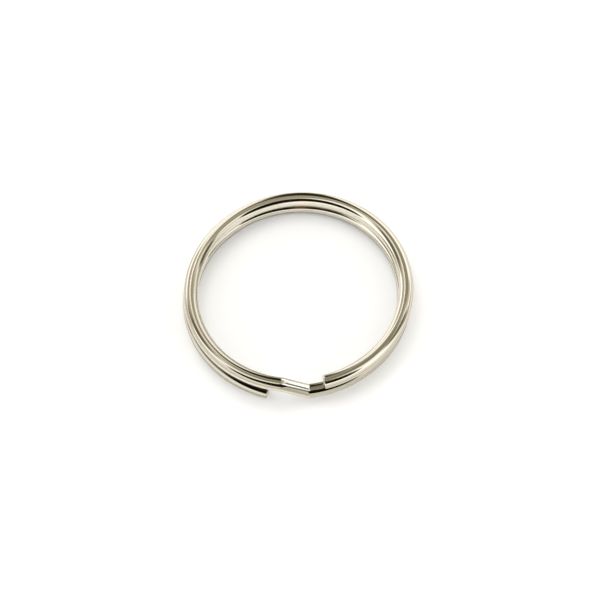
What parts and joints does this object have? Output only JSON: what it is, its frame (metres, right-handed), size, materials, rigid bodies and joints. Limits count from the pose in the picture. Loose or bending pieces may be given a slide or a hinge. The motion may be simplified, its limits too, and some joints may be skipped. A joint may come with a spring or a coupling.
{
  "type": "split ring",
  "caption": "Nickel-plated spring-steel split ring: one wire coiled into flat turns that lie on each other, stepped by a joggle, for holding keys or tags.",
  "frame": {"origin": "on the ring's axis, midway between its upper and lower turns", "axes": "+Z along the ring's axis towards the upper turn, -Y towards the joggle where the wire steps between the turns"},
  "size_m": [0.0252, 0.025, 0.0035],
  "materials": {
    "nickel": "bright nickel plate over spring steel, with fine drawing marks along the wire"
  },
  "bodies": {
    "root": {"split_ring": "nickel"}
  },
  "joints": []
}
